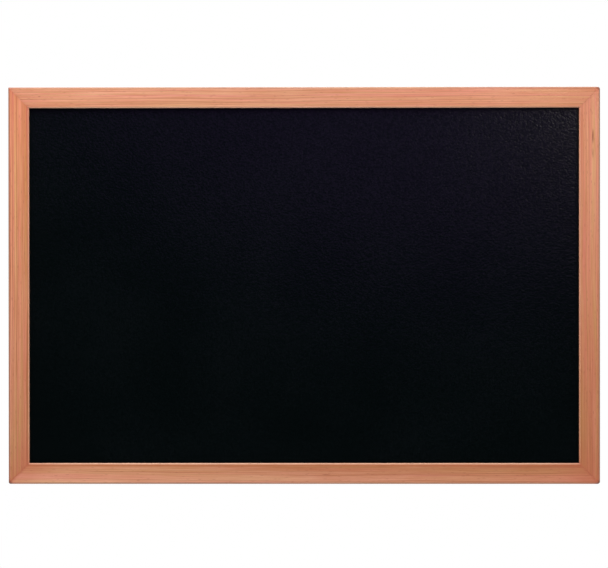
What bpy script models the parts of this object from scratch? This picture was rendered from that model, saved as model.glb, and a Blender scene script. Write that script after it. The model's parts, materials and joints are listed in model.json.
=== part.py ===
"""A framed wall chalkboard: four mitred wooden rails around a laminated writing panel.

Metres, +Z up. Seen from the front, +X is to the right and +Y goes into the wall.
The wall plane is y = 0. The origin lies on it, midway between the two points where
the rings hang on their hooks.
"""

import math

import bmesh
import bpy
from mathutils import Matrix, Vector

# Driving dimensions of the frame
frame_width = 0.600
frame_height = 0.4025
rail_face_width = 0.021
rail_depth = 0.015
lip_depth = 0.004
rebate_width = 0.006
front_arris = 0.0015
sight_arris = 0.0012
back_arris = 0.0008
corner_radii = {
    "top_right": 0.0020,
    "bottom_right": 0.0020,
    "bottom_left": 0.0012,
    "top_left": 0.0006,
}

# Writing panel
laminate_thickness = 0.0008
core_thickness = 0.0030
panel_edge_clearance = 0.0010

# Corner nails, pressed into the back of each mitre
nail_sheet = 0.0005
nail_leg = 0.0050
nail_curl = 0.0009
nail_height = 0.0100
outer_nail_inset = 0.0042
inner_nail_inset = 0.0098

# Flexible points, driven into the rebate wall behind the panel
point_sheet = 0.0005
point_width = 0.0080
point_embedded = 0.0080
point_exposed = 0.0080
point_corner = 0.0012
point_end_distance = 0.0620

# Hangers on the backs of the two side rails
hook_drop = 0.070
wire_radius = 0.0010
ring_half_width = 0.0059
ring_arm = 0.0060
ring_bend_radius = 0.0011
strap_width = 0.0090
strap_sheet = 0.0008
strap_corner_radius = 0.0030
screw_drop = 0.0170
strap_tail = 0.0045
ring_running_clearance = 0.0003

# Hanger screws
screw_core_radius = 0.0010
screw_thread_radius = 0.0014
screw_pitch = 0.0013
screw_length = 0.0115
screw_point_length = 0.0030
screw_tip_radius = 0.0003
screw_head_radius = 0.0027
screw_head_height = 0.0018
recess_arm = 0.0015
recess_slot = 0.0007
recess_depth = 0.0010

# Wall bumpers
bumper_radius = 0.0050
bumper_thickness = 0.0045
bumper_arris = 0.0012
bumper_edge_distance = 0.030

# Clearances and cutting
contact_gap = 0.0003
cut_overrun = 0.0020
weld_distance = 0.000001

# Facets
arc_steps = 4
corner_turn_steps = 3
ring_arc_steps = 14
bend_steps = 3
wire_bevel_resolution = 2
eye_steps = 18
thread_columns = 10
round_sides = 24
smooth_angle = math.radians(35)

# Places worked out from the sizes above
stand_off = bumper_thickness + contact_gap
back_y = -stand_off
front_y = back_y - rail_depth
top_z = hook_drop
centre_z = top_z - frame_height / 2
back_face_width = rail_face_width - rebate_width
panel_width = frame_width - 2 * (back_face_width + panel_edge_clearance)
panel_height = frame_height - 2 * (back_face_width + panel_edge_clearance)
laminate_front = lip_depth + contact_gap
core_front = laminate_front + laminate_thickness + contact_gap
point_front = core_front + core_thickness + contact_gap

eye_bore = wire_radius + ring_running_clearance
eye_outer = eye_bore + strap_sheet
strap_back = 2 * strap_sheet - eye_outer
axis_y = back_y + contact_gap + eye_outer
ring_reach = ring_arm + ring_half_width
ring_lean = math.asin((eye_outer - wire_radius) / ring_reach)
axis_z = -(ring_reach - wire_radius) * math.cos(ring_lean)
hanger_x = frame_width / 2 - back_face_width / 2


def clear_scene():
    for old in list(bpy.data.objects):
        bpy.data.objects.remove(old, do_unlink=True)


def finish_material(name, colour, roughness, metallic=0.0):
    material = bpy.data.materials.new(name)
    material.use_nodes = True
    shader = material.node_tree.nodes["Principled BSDF"]
    shader.inputs["Base Color"].default_value = (*colour, 1.0)
    shader.inputs["Roughness"].default_value = roughness
    shader.inputs["Metallic"].default_value = metallic
    material.diffuse_color = (*colour, 1.0)
    return material


def add_object(name, data, material=None):
    made = bpy.data.objects.new(name, data)
    bpy.context.scene.collection.objects.link(made)
    if material is not None:
        data.materials.append(material)
    return made


def to_mesh(name, shape, smooth=False):
    """Turn a bmesh into a mesh with its faces pointing out."""
    bmesh.ops.remove_doubles(shape, verts=shape.verts, dist=weld_distance)
    bmesh.ops.recalc_face_normals(shape, faces=shape.faces)
    mesh = bpy.data.meshes.new(name)
    shape.to_mesh(mesh)
    shape.free()
    if smooth:
        mesh.shade_smooth()
        mesh.set_sharp_from_angle(angle=smooth_angle)
    return mesh


def facing_y(across, up, depth):
    return Vector((across, depth, up))


def facing_x(across, up, depth):
    return Vector((depth, across, up))


def prism(name, outline, low, high, place=facing_y, smooth=False):
    """Extrude a closed outline from one depth to another."""
    shape = bmesh.new()
    corners = [shape.verts.new(place(across, up, low)) for across, up in outline]
    base = shape.faces.new(corners)
    lifted = bmesh.ops.extrude_face_region(shape, geom=[base])
    moved = [v for v in lifted["geom"] if isinstance(v, bmesh.types.BMVert)]
    bmesh.ops.translate(shape, verts=moved, vec=place(0, 0, high - low))
    return to_mesh(name, shape, smooth)


def turned(name, profile, sides=round_sides):
    """Turn a profile of (radius, height) about the local Z axis."""
    shape = bmesh.new()
    points = [shape.verts.new((radius, 0, height)) for radius, height in profile]
    lines = [shape.edges.new(pair) for pair in zip(points, points[1:])]
    bmesh.ops.spin(
        shape, geom=points + lines, cent=(0, 0, 0), axis=(0, 0, 1),
        angle=math.tau, steps=sides, use_merge=True,
    )
    return to_mesh(name, shape, smooth=True)


def arc(centre, radius, start, end, steps=arc_steps):
    """Points along an arc, with angles in degrees."""
    points = []
    for step in range(steps + 1):
        angle = math.radians(start + (end - start) * step / steps)
        points.append((centre[0] + radius * math.cos(angle), centre[1] + radius * math.sin(angle)))
    return points


def rectangle(left, right, low, high):
    return [(left, low), (right, low), (right, high), (left, high)]


def strip_outline(line, thickness):
    """The closed outline of a bent strip of sheet that follows a line."""
    sides = ([], [])
    for index, here in enumerate(line):
        before = Vector(here) - Vector(line[max(index - 1, 0)])
        after = Vector(line[min(index + 1, len(line) - 1)]) - Vector(here)
        before = (before if before.length else after).normalized()
        after = (after if after.length else before).normalized()
        along = (before + after).normalized()
        offset = Vector((-along.y, along.x)) * thickness / 2 / along.dot(before)
        sides[0].append(tuple(Vector(here) + offset))
        sides[1].append(tuple(Vector(here) - offset))
    return sides[0] + sides[1][::-1]


def make_cutter(name, mesh):
    """A shape that only cuts, and isn't a piece of the board."""
    cutter = add_object(name, mesh)
    cutter.hide_render = True
    cutter.display_type = "WIRE"
    return cutter


def cut(piece, cutter, operation="DIFFERENCE"):
    modifier = piece.modifiers.new(cutter.name, "BOOLEAN")
    modifier.operation = operation
    modifier.object = cutter


def even_shading(piece):
    """Keep flat faces looking flat beside the cuts."""
    modifier = piece.modifiers.new("even_shading", "WEIGHTED_NORMAL")
    modifier.keep_sharp = True


def rail_profile():
    """The rail's section as (distance in from the outer side, depth behind the front)."""
    outer_back = arc((back_arris, rail_depth - back_arris), back_arris, 90, 180)
    outer_front = arc((front_arris, front_arris), front_arris, 180, 270)
    sight = arc((rail_face_width - sight_arris, sight_arris), sight_arris, 270, 360)
    lip_and_rebate = [
        (rail_face_width, lip_depth),
        (back_face_width, lip_depth),
        (back_face_width, rail_depth),
    ]
    return outer_back + outer_front + sight + lip_and_rebate


def rail_end_point(inset, length, radius, turned_share):
    """Where a point of the section lies at one end, part of the way round the outer corner.

    Each point turns until it meets the mitre face, which is set back for the glue line.
    """
    setback = contact_gap / math.sqrt(2)
    bend = radius - inset
    if bend <= setback:
        return length / 2 - inset - setback, inset
    full_turn = math.acos(setback / bend / math.sqrt(2)) - math.radians(45)
    turn = turned_share * full_turn
    return length / 2 - radius + bend * math.sin(turn), radius - bend * math.cos(turn)


def rail_mesh(name, length, spread, start_radius, end_radius):
    """Sweep the section between two mitres. Spread is the frame's half size across."""
    profile = rail_profile()
    shares = [step / corner_turn_steps for step in range(corner_turn_steps + 1)]
    stations = [(-1, start_radius, share) for share in reversed(shares)]
    stations += [(1, end_radius, share) for share in shares]
    shape = bmesh.new()
    sections = []
    for side, radius, share in stations:
        section = []
        for inset, depth in profile:
            along, moved_inset = rail_end_point(inset, length, radius, share)
            section.append(shape.verts.new((side * along, depth, spread - moved_inset)))
        sections.append(section)
    for first, second in zip(sections, sections[1:]):
        for index in range(len(profile)):
            after = (index + 1) % len(profile)
            shape.faces.new((first[index], first[after], second[after], second[index]))
    shape.faces.new(sections[0])
    shape.faces.new(sections[-1])
    return to_mesh(name, shape, smooth=True)


def make_rail(name, quarter, corners, wood):
    """Quarter turns run clockwise from the top, seen from the front."""
    across = quarter % 2 == 1
    length = frame_height if across else frame_width
    spread = (frame_width if across else frame_height) / 2
    radii = [corner_radii[corner] for corner in corners]
    rail = add_object(name, rail_mesh(name, length, spread, *radii), wood)
    rail.location = (0, front_y, centre_z)
    rail.rotation_euler = (0, math.radians(90) * quarter, 0)
    return rail


def nail_line(extra):
    """The V of a corner nail with its curled ends, apex at the origin."""
    reach = nail_leg + extra
    curl = nail_curl + extra
    return [
        (-reach, curl),
        (-nail_leg + nail_curl, 0),
        (0, 0),
        (0, -nail_leg + nail_curl),
        (curl, -reach),
    ]


def make_corner_nail(corner, quarter, rank, inset, rails, steel):
    """One V nail, and the slot that it stands in across both rails."""
    name = f"corner_nail_{corner}_{rank}"
    low = rail_depth - contact_gap - nail_height
    high = rail_depth - contact_gap
    body = prism(name, strip_outline(nail_line(0), nail_sheet), low, high)
    slot_sheet = nail_sheet + 2 * contact_gap
    slot = prism(
        f"{name}_slot", strip_outline(nail_line(contact_gap), slot_sheet),
        low - contact_gap, rail_depth + cut_overrun,
    )
    nail = add_object(name, body, steel)
    cutter = make_cutter(f"{name}_slot", slot)
    turn = Matrix.Rotation(math.radians(90) * quarter, 4, "Y")
    half_across = (frame_width if quarter % 2 == 0 else frame_height) / 2
    half_up = (frame_height if quarter % 2 == 0 else frame_width) / 2
    place = Matrix.Translation((half_across - inset, 0, half_up - inset))
    for piece in (nail, cutter):
        piece.matrix_world = Matrix.Translation((0, front_y, centre_z)) @ turn @ place
    for rail in rails:
        cut(rail, cutter)


def point_outline():
    """Square end over the panel, pointed end in the wood."""
    half = point_width / 2
    return [
        (-half + point_corner, -point_exposed),
        (half - point_corner, -point_exposed),
        (half, -point_exposed + point_corner),
        (half, point_embedded - half),
        (0, point_embedded),
        (-half, point_embedded - half),
        (-half, -point_exposed + point_corner),
    ]


def make_panel_points(rail, label, quarter, steel):
    """Points spread along one rail, each in its own slot in the rebate wall."""
    across = quarter % 2 == 1
    length = frame_height if across else frame_width
    spread = (frame_width if across else frame_height) / 2
    outermost = length / 2 - point_end_distance
    places = (-outermost, outermost) if across else (-outermost, 0, outermost)
    half = point_width / 2 + contact_gap
    for number, along in enumerate(places, start=1):
        name = f"panel_point_{label}_{number}"
        body = prism(name, point_outline(), point_front, point_front + point_sheet)
        slot = prism(
            f"{name}_slot",
            rectangle(-half, half, -cut_overrun, point_embedded + contact_gap),
            point_front - contact_gap, point_front + point_sheet + contact_gap,
        )
        point = add_object(name, body, steel)
        cutter = make_cutter(f"{name}_slot", slot)
        for piece in (point, cutter):
            piece.parent = rail
            piece.location = (along, 0, spread - back_face_width)
        cut(rail, cutter)


def make_panel(slate, board):
    """The writing face and its core, held behind the lip."""
    layers = (
        ("writing_surface", laminate_front, laminate_thickness, slate),
        ("panel_core", core_front, core_thickness, board),
    )
    outline = rectangle(-panel_width / 2, panel_width / 2, -panel_height / 2, panel_height / 2)
    for name, depth, thickness, material in layers:
        layer = add_object(name, prism(name, outline, depth, depth + thickness), material)
        layer.location = (0, front_y, centre_z)


def strap_outline():
    """Side view of the strap folded round the ring's bar, at its axis."""
    tail = -(screw_drop + strap_tail)
    meeting = math.degrees(math.acos(strap_back / eye_outer))
    fold = arc((0, 0), eye_outer, 180, -meeting, eye_steps)
    return [(-eye_outer, tail), *fold, (strap_back, tail)]


def strap_mesh(name):
    shape = bmesh.new()
    shape.from_mesh(
        prism(name, strap_outline(), -strap_width / 2, strap_width / 2, place=facing_x)
    )
    tail = -(screw_drop + strap_tail)
    ends = [
        edge for edge in shape.edges
        if all(math.isclose(v.co.z, tail, abs_tol=weld_distance) for v in edge.verts)
        and math.isclose(edge.verts[0].co.x, edge.verts[1].co.x, abs_tol=weld_distance)
    ]
    bmesh.ops.bevel(
        shape, geom=ends, offset=strap_corner_radius, segments=arc_steps,
        profile=0.5, affect="EDGES",
    )
    return to_mesh(name, shape, smooth=True)


def make_strap(side, x, steel):
    name = f"hanger_strap_{side}"
    strap = add_object(name, strap_mesh(name), steel)
    strap.location = (x, axis_y, axis_z)
    bore = make_cutter(f"{name}_bore", cylinder_mesh(f"{name}_bore", eye_bore, strap_width))
    bore.rotation_euler = (0, math.radians(90), 0)
    hole_radius = screw_thread_radius + contact_gap
    hole = make_cutter(f"{name}_hole", cylinder_mesh(f"{name}_hole", hole_radius, 2 * eye_outer))
    hole.rotation_euler = (math.radians(90), 0, 0)
    hole.location = (0, 0, -screw_drop)
    for cutter in (bore, hole):
        cutter.parent = strap
        cut(strap, cutter)


def cylinder_mesh(name, radius, length):
    """A cutting cylinder about local Z, centred, with an overrun at both ends."""
    half = length / 2 + cut_overrun
    return turned(name, [(0, -half), (radius, -half), (radius, half), (0, half)])


def ring_path():
    """Centre line of the D, with its bar on the local X axis."""
    bend = ring_bend_radius
    inner = ring_half_width - bend
    right_bend = arc((inner, bend), bend, -90, 0, bend_steps)
    left_bend = arc((-inner, bend), bend, 180, 270, bend_steps)
    bow = arc((0, ring_arm), ring_half_width, 0, 180, ring_arc_steps)
    return right_bend + bow + left_bend


def make_ring(side, x, steel):
    """The ring's object stands on its hinge axis and leans on the rail."""
    name = f"hanger_ring_{side}"
    path = ring_path()
    wire = bpy.data.curves.new(name, "CURVE")
    wire.dimensions = "3D"
    wire.bevel_depth = wire_radius
    wire.bevel_resolution = wire_bevel_resolution
    spline = wire.splines.new("POLY")
    spline.points.add(len(path) - 1)
    for point, (across, up) in zip(spline.points, path):
        point.co = (across, 0, up, 1)
    spline.use_cyclic_u = True
    spline.use_smooth = True
    ring = add_object(name, wire, steel)
    ring.location = (x, axis_y, axis_z)
    ring.rotation_euler = (ring_lean, 0, 0)


def thread_mesh(name):
    """A threaded shank below z = 0, its surface one helical grid."""
    strand_radii = (screw_core_radius, screw_thread_radius)
    strands = len(strand_radii)
    turns = math.floor(screw_length / screw_pitch)
    last = thread_columns * turns
    shape = bmesh.new()
    grid = {}
    for column in range(last + thread_columns + 1):
        for strand, radius in enumerate(strand_radii):
            rise = screw_pitch * (column / thread_columns + strand / strands)
            taper = min(1.0, rise / screw_point_length)
            reach = screw_tip_radius + (radius - screw_tip_radius) * taper
            angle = math.tau * column / thread_columns
            height = rise - screw_length
            spot = (reach * math.cos(angle), reach * math.sin(angle), height)
            grid[column, strand] = shape.verts.new(spot)

    def vertex(column, strand):
        return grid[column, strand] if strand < strands else grid[column + thread_columns, 0]

    for column in range(last):
        for strand in range(strands):
            shape.faces.new((
                vertex(column, strand), vertex(column + 1, strand),
                vertex(column + 1, strand + 1), vertex(column, strand + 1),
            ))
    for column, height in ((0, -screw_length - screw_tip_radius), (last, screw_pitch)):
        rim = [vertex(column + step, 0) for step in range(thread_columns + 1)]
        rim += [vertex(column, strand) for strand in range(strands - 1, 0, -1)]
        middle = shape.verts.new((0, 0, height))
        for here, after in zip(rim, rim[1:] + rim[:1]):
            shape.faces.new((here, after, middle))
    loose = [v for v in shape.verts if not v.link_faces]
    bmesh.ops.delete(shape, geom=loose, context="VERTS")
    return to_mesh(name, shape, smooth=True)


def screw_head_profile():
    """A pan head with its underside at z = 0."""
    crown = screw_head_height / 2
    rounded = arc((screw_head_radius - crown, screw_head_height - crown), crown, 0, 90)
    return [(0, 0), (screw_head_radius, 0), *rounded, (0, screw_head_height)]


def cross_outline():
    arm, slot = recess_arm, recess_slot / 2
    return [
        (arm, -slot), (arm, slot), (slot, slot), (slot, arm), (-slot, arm), (-slot, slot),
        (-arm, slot), (-arm, -slot), (-slot, -slot), (-slot, -arm), (slot, -arm), (slot, -slot),
    ]


def along_z(across, up, depth):
    return Vector((across, up, depth))


def make_screw(side, x, rail, steel):
    """A pan head screw through the strap, and its pilot hole in the rail."""
    name = f"hanger_screw_{side}"
    screw = add_object(name, turned(name, screw_head_profile()), steel)
    screw.location = (x, axis_y + strap_back + contact_gap, axis_z - screw_drop)
    screw.rotation_euler = (math.radians(-90), 0, 0)
    thread = make_cutter(f"{name}_thread", thread_mesh(f"{name}_thread"))
    recess_floor = screw_head_height - recess_depth
    recess_mesh = prism(
        f"{name}_recess", cross_outline(), recess_floor,
        screw_head_height + cut_overrun, place=along_z,
    )
    recess = make_cutter(f"{name}_recess", recess_mesh)
    for cutter, operation in ((thread, "UNION"), (recess, "DIFFERENCE")):
        cutter.parent = screw
        cut(screw, cutter, operation)
    pilot_radius = screw_thread_radius + contact_gap
    pilot_length = screw_length + screw_tip_radius + contact_gap - cut_overrun
    pilot_mesh = cylinder_mesh(f"{name}_pilot", pilot_radius, pilot_length)
    pilot = make_cutter(f"{name}_pilot", pilot_mesh)
    pilot.parent = screw
    pilot.location = (0, 0, -pilot_length / 2)
    cut(rail, pilot)


def make_bumper(name, x, z, rubber):
    """A round foot. Its flat back is the wall plane."""
    top = bumper_thickness
    rounded = arc((bumper_radius - bumper_arris, top - bumper_arris), bumper_arris, 0, 90)
    profile = [(0, 0), (bumper_radius, 0), *rounded, (0, top)]
    bumper = add_object(name, turned(name, profile), rubber)
    bumper.location = (x, back_y + contact_gap, z)
    bumper.rotation_euler = (math.radians(-90), 0, 0)


def build():
    clear_scene()
    wood = finish_material("lacquered_wood", (0.60, 0.27, 0.15), 0.45)
    slate = finish_material("black_writing_face", (0.006, 0.007, 0.010), 0.38)
    board = finish_material("hardboard", (0.22, 0.12, 0.06), 0.75)
    spring_steel = finish_material("spring_steel", (0.35, 0.36, 0.38), 0.35, 1.0)
    plated_steel = finish_material("zinc_plated_steel", (0.62, 0.62, 0.60), 0.30, 1.0)
    rubber = finish_material("black_rubber", (0.015, 0.015, 0.016), 0.70)

    corners = ("top_right", "bottom_right", "bottom_left", "top_left")
    labels = ("top", "right", "bottom", "left")
    rails = []
    for quarter, label in enumerate(labels):
        ends = (corners[quarter - 1], corners[quarter])
        rails.append(make_rail(f"rail_{label}", quarter, ends, wood))
    for quarter, corner in enumerate(corners):
        meeting = (rails[quarter], rails[(quarter + 1) % len(rails)])
        for rank, inset in (("outer", outer_nail_inset), ("inner", inner_nail_inset)):
            make_corner_nail(corner, quarter, rank, inset, meeting, spring_steel)
    for quarter, label in enumerate(labels):
        make_panel_points(rails[quarter], label, quarter, spring_steel)
    make_panel(slate, board)

    side_rails = {"left": rails[3], "right": rails[1]}
    for side, x in (("left", -hanger_x), ("right", hanger_x)):
        make_strap(side, x, plated_steel)
        make_ring(side, x, plated_steel)
        make_screw(side, x, side_rails[side], plated_steel)
        for level, z in (
            ("top", top_z - bumper_edge_distance),
            ("bottom", top_z - frame_height + bumper_edge_distance),
        ):
            make_bumper(f"wall_bumper_{level}_{side}", x, z, rubber)
    for piece in bpy.data.objects:
        if len(piece.modifiers):
            even_shading(piece)


build()
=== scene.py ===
import json
import math

import bmesh
import bpy
from mathutils import Matrix, Vector, noise


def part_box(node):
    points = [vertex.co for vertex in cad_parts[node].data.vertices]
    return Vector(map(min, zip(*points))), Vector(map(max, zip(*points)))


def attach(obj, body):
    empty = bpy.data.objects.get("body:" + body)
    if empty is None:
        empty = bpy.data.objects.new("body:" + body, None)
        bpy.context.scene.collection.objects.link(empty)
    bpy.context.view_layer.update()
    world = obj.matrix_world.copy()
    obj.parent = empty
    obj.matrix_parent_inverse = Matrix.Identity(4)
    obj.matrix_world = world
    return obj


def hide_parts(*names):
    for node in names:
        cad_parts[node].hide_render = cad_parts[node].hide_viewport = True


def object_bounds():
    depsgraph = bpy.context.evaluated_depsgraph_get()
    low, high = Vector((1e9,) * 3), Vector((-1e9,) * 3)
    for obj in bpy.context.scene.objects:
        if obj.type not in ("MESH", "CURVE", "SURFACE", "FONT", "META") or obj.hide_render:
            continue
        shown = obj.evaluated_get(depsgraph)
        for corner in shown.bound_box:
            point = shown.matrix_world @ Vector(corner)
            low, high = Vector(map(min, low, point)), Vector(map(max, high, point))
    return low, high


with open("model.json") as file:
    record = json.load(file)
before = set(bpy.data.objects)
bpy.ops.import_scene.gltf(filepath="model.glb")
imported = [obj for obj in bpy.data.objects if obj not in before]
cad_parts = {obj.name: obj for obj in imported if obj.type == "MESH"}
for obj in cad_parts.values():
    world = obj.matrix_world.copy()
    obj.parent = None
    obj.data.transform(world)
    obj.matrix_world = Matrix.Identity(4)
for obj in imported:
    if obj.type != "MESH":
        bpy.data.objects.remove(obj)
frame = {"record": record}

cadLow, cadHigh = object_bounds()
millimetre = 0.001
smooth = {"interpolation_type": "SMOOTHSTEP"}

# Places that every piece is set against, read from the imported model
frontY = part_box("rail_top")[0].y
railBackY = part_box("rail_top")[1].y
boardWidth = cadHigh.x - cadLow.x
boardHeight = cadHigh.z - cadLow.z
boardCentre = Vector(((cadLow.x + cadHigh.x) / 2, frontY, (cadLow.z + cadHigh.z) / 2))


def hexToLinear(hexColour):
    # sRGB hex to the linear values that a shader takes
    parts = [int(hexColour[i:i + 2], 16) / 255 for i in (1, 3, 5)]
    return tuple(p / 12.92 if p <= 0.04045 else ((p + 0.055) / 1.055) ** 2.4 for p in parts) + (1.0,)


def addNode(tree, kind, settings=None, links=None):
    # The kind may name its operation too. Settings are the node's options or its sockets' values, shades in
    # hex, with "stops" for a ramp and "map" for a range and what it becomes. Links name a node or its output.
    kind, _, operation = kind.partition(".")
    node = tree.nodes.new(f"ShaderNode{kind}")
    if operation:
        node.operation = operation
    for name, value in (settings or {}).items():
        if name == "stops":
            ramp = node.color_ramp
            while len(ramp.elements) < len(value):
                ramp.elements.new(1.0)
            for element, (position, shade) in zip(ramp.elements, value):
                element.position, element.color = position, hexToLinear(shade)
        elif name == "map":
            for socket, limit in zip(("From Min", "From Max", "To Min", "To Max"), value):
                node.inputs[socket].default_value = limit
        elif isinstance(name, str) and hasattr(node, name):
            setattr(node, name, value)
        else:
            node.inputs[name].default_value = hexToLinear(value) if isinstance(value, str) else value
    for socket, source in (links or {}).items():
        if isinstance(source, bpy.types.Node):
            source = next(output for output in source.outputs if output.enabled)
        tree.links.new(source, node.inputs[socket])
    return node


def newMaterial(name, unit=millimetre):
    # an empty material, its node tree, and the place on the piece counted in the unit
    material = bpy.data.materials.new(name)
    material.use_nodes = True
    tree = material.node_tree
    tree.nodes.clear()
    place = addNode(tree, "TexCoord").outputs["Object"]
    return material, tree, addNode(tree, "VectorMath.SCALE", {"Scale": 1 / unit}, {0: place})


def finishMaterial(tree, settings, links):
    surface = addNode(tree, "BsdfPrincipled", settings, links)
    addNode(tree, "OutputMaterial", {}, {"Surface": surface})


def layOver(tree, colour, look, layers):
    # each layer's shade covers the colour as far as its masks, multiplied together, let it
    for shade, mask, *others in layers:
        for other in others:
            mask = addNode(tree, "Math.MULTIPLY", {}, {0: mask, 1: other})
        colour = addNode(tree, "Mix", {"data_type": "RGBA", 7: look[shade]}, {0: mask, 6: colour})
    return colour


def grainedSurface(tree, spot, look):
    # Two shades that blend in clouds, and a finer grain that makes the bumps. A look gives both sizes in mm,
    # and the noise values between which the shades blend and the roughness runs.
    grainSpot = addNode(tree, "Mapping", {"Scale": [1 / size for size in look["grain"]]}, {"Vector": spot})
    grain = addNode(tree, "TexNoise", {"Scale": 1.0, **look["grainNoise"]}, {"Vector": grainSpot}).outputs[0]
    cloudNoise = {"Scale": 1 / look["cloud"], "Detail": look["cloudDetail"]}
    tone = addNode(tree, "TexNoise", cloudNoise, {"Vector": spot}).outputs[0]
    if look["grainInShades"]:
        tone = addNode(tree, "Math.MULTIPLY", {}, {0: grain, 1: tone})
    tone = addNode(tree, "MapRange", {"map": look["blend"]}, {"Value": tone})
    dark, light = look["shades"]
    colour = addNode(tree, "Mix", {"data_type": "RGBA", 6: dark, 7: light}, {0: tone})
    rubbed = {"map": (*look["roughBetween"], *look["roughness"])}
    roughness = addNode(tree, "MapRange", rubbed, {"Value": tone if look["roughByShade"] else grain})
    relief = {"Strength": look["bump"], "Distance": look["relief"] * millimetre}
    bump = addNode(tree, "Bump", relief, {"Height": grain})
    return grain, {"Base Color": colour, "Roughness": roughness, "Normal": bump}


def grainedMaterial(name, look, settings):
    material, tree, spot = newMaterial(name)
    finishMaterial(tree, settings, grainedSurface(tree, spot, look)[1])
    return material


def inMetres(shape):
    return {key: value * millimetre for key, value in shape.items() if isinstance(value, float)}


def evenly(start, end, steps):
    return [start + (end - start) * step / steps for step in range(steps + 1)]


def arc(centre, radius, start, end, steps):
    # points on an arc, its angles in degrees
    angles = [math.radians(angle) for angle in evenly(start, end, steps)]
    return [(centre[0] + radius * math.cos(a), centre[1] + radius * math.sin(a)) for a in angles]


def circle(radius, sides):
    turns = [math.tau * side / sides for side in range(sides)]
    return [(radius * math.cos(turn), radius * math.sin(turn)) for turn in turns]


def direction(line, index):
    # which way a line of points runs at one of them
    return (line[min(index + 1, len(line) - 1)] - line[max(index - 1, 0)]).normalized()


def joinRings(shape, first, second):
    corners = zip(first, first[1:] + first[:1], second[1:] + second[:1], second)
    for face in corners:
        shape.faces.new(face)


def meshFrom(shape, name, sharpAngle=30):
    bmesh.ops.remove_doubles(shape, verts=shape.verts, dist=0.001 * millimetre)
    bmesh.ops.dissolve_degenerate(shape, edges=shape.edges, dist=0.001 * millimetre)
    bmesh.ops.recalc_face_normals(shape, faces=shape.faces)
    mesh = bpy.data.meshes.new(name)
    shape.to_mesh(mesh)
    shape.free()
    mesh.shade_smooth()
    mesh.set_sharp_from_angle(angle=math.radians(sharpAngle))
    return mesh


def skin(name, rings, loop=False, sharpAngle=30):
    # a closed mesh drawn over rings of points, its ends capped unless it runs round in a loop
    shape = bmesh.new()
    rows = [[shape.verts.new(point) for point in ring] for ring in rings]
    for first, second in zip(rows, rows[1:] + (rows[:1] if loop else [])):
        joinRings(shape, first, second)
    if not loop:
        shape.faces.new(rows[0])
        shape.faces.new(rows[-1])
    return meshFrom(shape, name, sharpAngle)


def lathe(name, profile, sides=48):
    # rings of (radius, height) turned about local Z
    return skin(name, [[(x, y, height) for x, y in circle(radius, sides)] for radius, height in profile])


def addPrism(shape, outline, low, high, place):
    # an outline in local X and Z, drawn out along Y and added to a bmesh
    near, far = ([shape.verts.new(place @ Vector((x, y, z))) for x, z in outline] for y in (low, high))
    joinRings(shape, near, far)
    shape.faces.new(near)
    shape.faces.new(far)


def newObject(name, data):
    made = bpy.data.objects.new(name, data)
    bpy.context.scene.collection.objects.link(made)
    return made


def addPiece(name, mesh, finish, node, place=None, body="board", evenShading=False):
    material, slot = finish
    piece = newObject(name, mesh)
    mesh.materials.append(material)
    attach(piece, body)
    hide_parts(node)
    if place is not None:
        piece.matrix_world = place
    if evenShading:
        piece.modifiers.new("evenShading", "WEIGHTED_NORMAL").keep_sharp = True


def cutWith(mesh, cutterMesh, operation="DIFFERENCE"):
    # the mesh after one exact Boolean, with flat faces that still look flat
    holder, cutter = newObject(mesh.name, mesh), newObject("cutter", cutterMesh)
    boolean = holder.modifiers.new("cut", "BOOLEAN")
    boolean.operation = operation
    boolean.solver = "EXACT"
    boolean.object = cutter
    shape = bmesh.new()
    shape.from_object(holder, bpy.context.evaluated_depsgraph_get())
    bmesh.ops.triangulate(shape, faces=[face for face in shape.faces if len(face.verts) > 4])
    for made in (holder, cutter):
        bpy.data.objects.remove(made)
    return meshFrom(shape, mesh.name)


# The camera comes first, placed so that the board's corners fall where the picture has them
cameraPlace = {
    "place": (0.0105, -1.7698, -0.1226),   # m
    "turn": (89.770, 0.037, 0.342),        # degrees
    "lens": 102.23, "sensor": 36,          # mm
}
cameraData = bpy.data.cameras.new("camera")
cameraData.sensor_width = cameraPlace["sensor"]
cameraData.lens = cameraPlace["lens"]
camera = newObject("camera", cameraData)
camera.location = cameraPlace["place"]
camera.rotation_euler = [math.radians(angle) for angle in cameraPlace["turn"]]
bpy.context.scene.camera = camera


# Pine, planed, stained a pinkish orange and sprayed with satin lacquer. The eye gets long straight streaks,
# ochre to pink, between thin darker rings, all under a thin even film.
woodLook = {
    "hues": [(0.32, "#E6AD79"), (0.44, "#E9A67D"), (0.56, "#EE9F81"), (0.68, "#F19B8A")],   # ochre to pink
    # the lip and brown edge shades are painted shade; the pale edge shade is thin lacquer with a painted
    # highlight
    "ring": "#B5683A", "tip": "#E5866A", "fleck": "#8A4224", "soaked": "#B95E40", "lip": "#4A2A1A",
    "brownShadeEdge": "#966F58", "deepEdge": "#B9683C", "paleHighlightEdge": "#F9CCB2", "shadedCorner": "#6A4030",
    # the dark corner shade is painted shade on the rounded outer corners
    "rawWood": "#E2BE8E", "rawRing": "#B5804C",
    "drifts": ((230, 1.0), (60, 0.08)),    # mm along the rail of each wander of the rings, and its share
    "streakLength": 230,                   # mm over which a streak comes and goes
    "fibreLength": 40, "fibreWidth": 0.8,  # mm, drawn coarser than the real 0.1 so that it shows
    "fineFibre": (0.35, 4, 4),             # how much closer the finest fibres lie, to 0.2 mm across
    "ductCell": (11.0, 1.5, 1.5),          # mm along, into and across the wood for each resin duct
    "ductShare": 0.4,
    "fleckDepth": 4,                       # mm
    "soakReach": (45, 4, 0.5),             # mm from the mitre: the tint, the end grain and the glue line
    "roughness": (0.44, 0.78), "relief": 0.05,   # lacquered and bare, and mm
}
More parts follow.
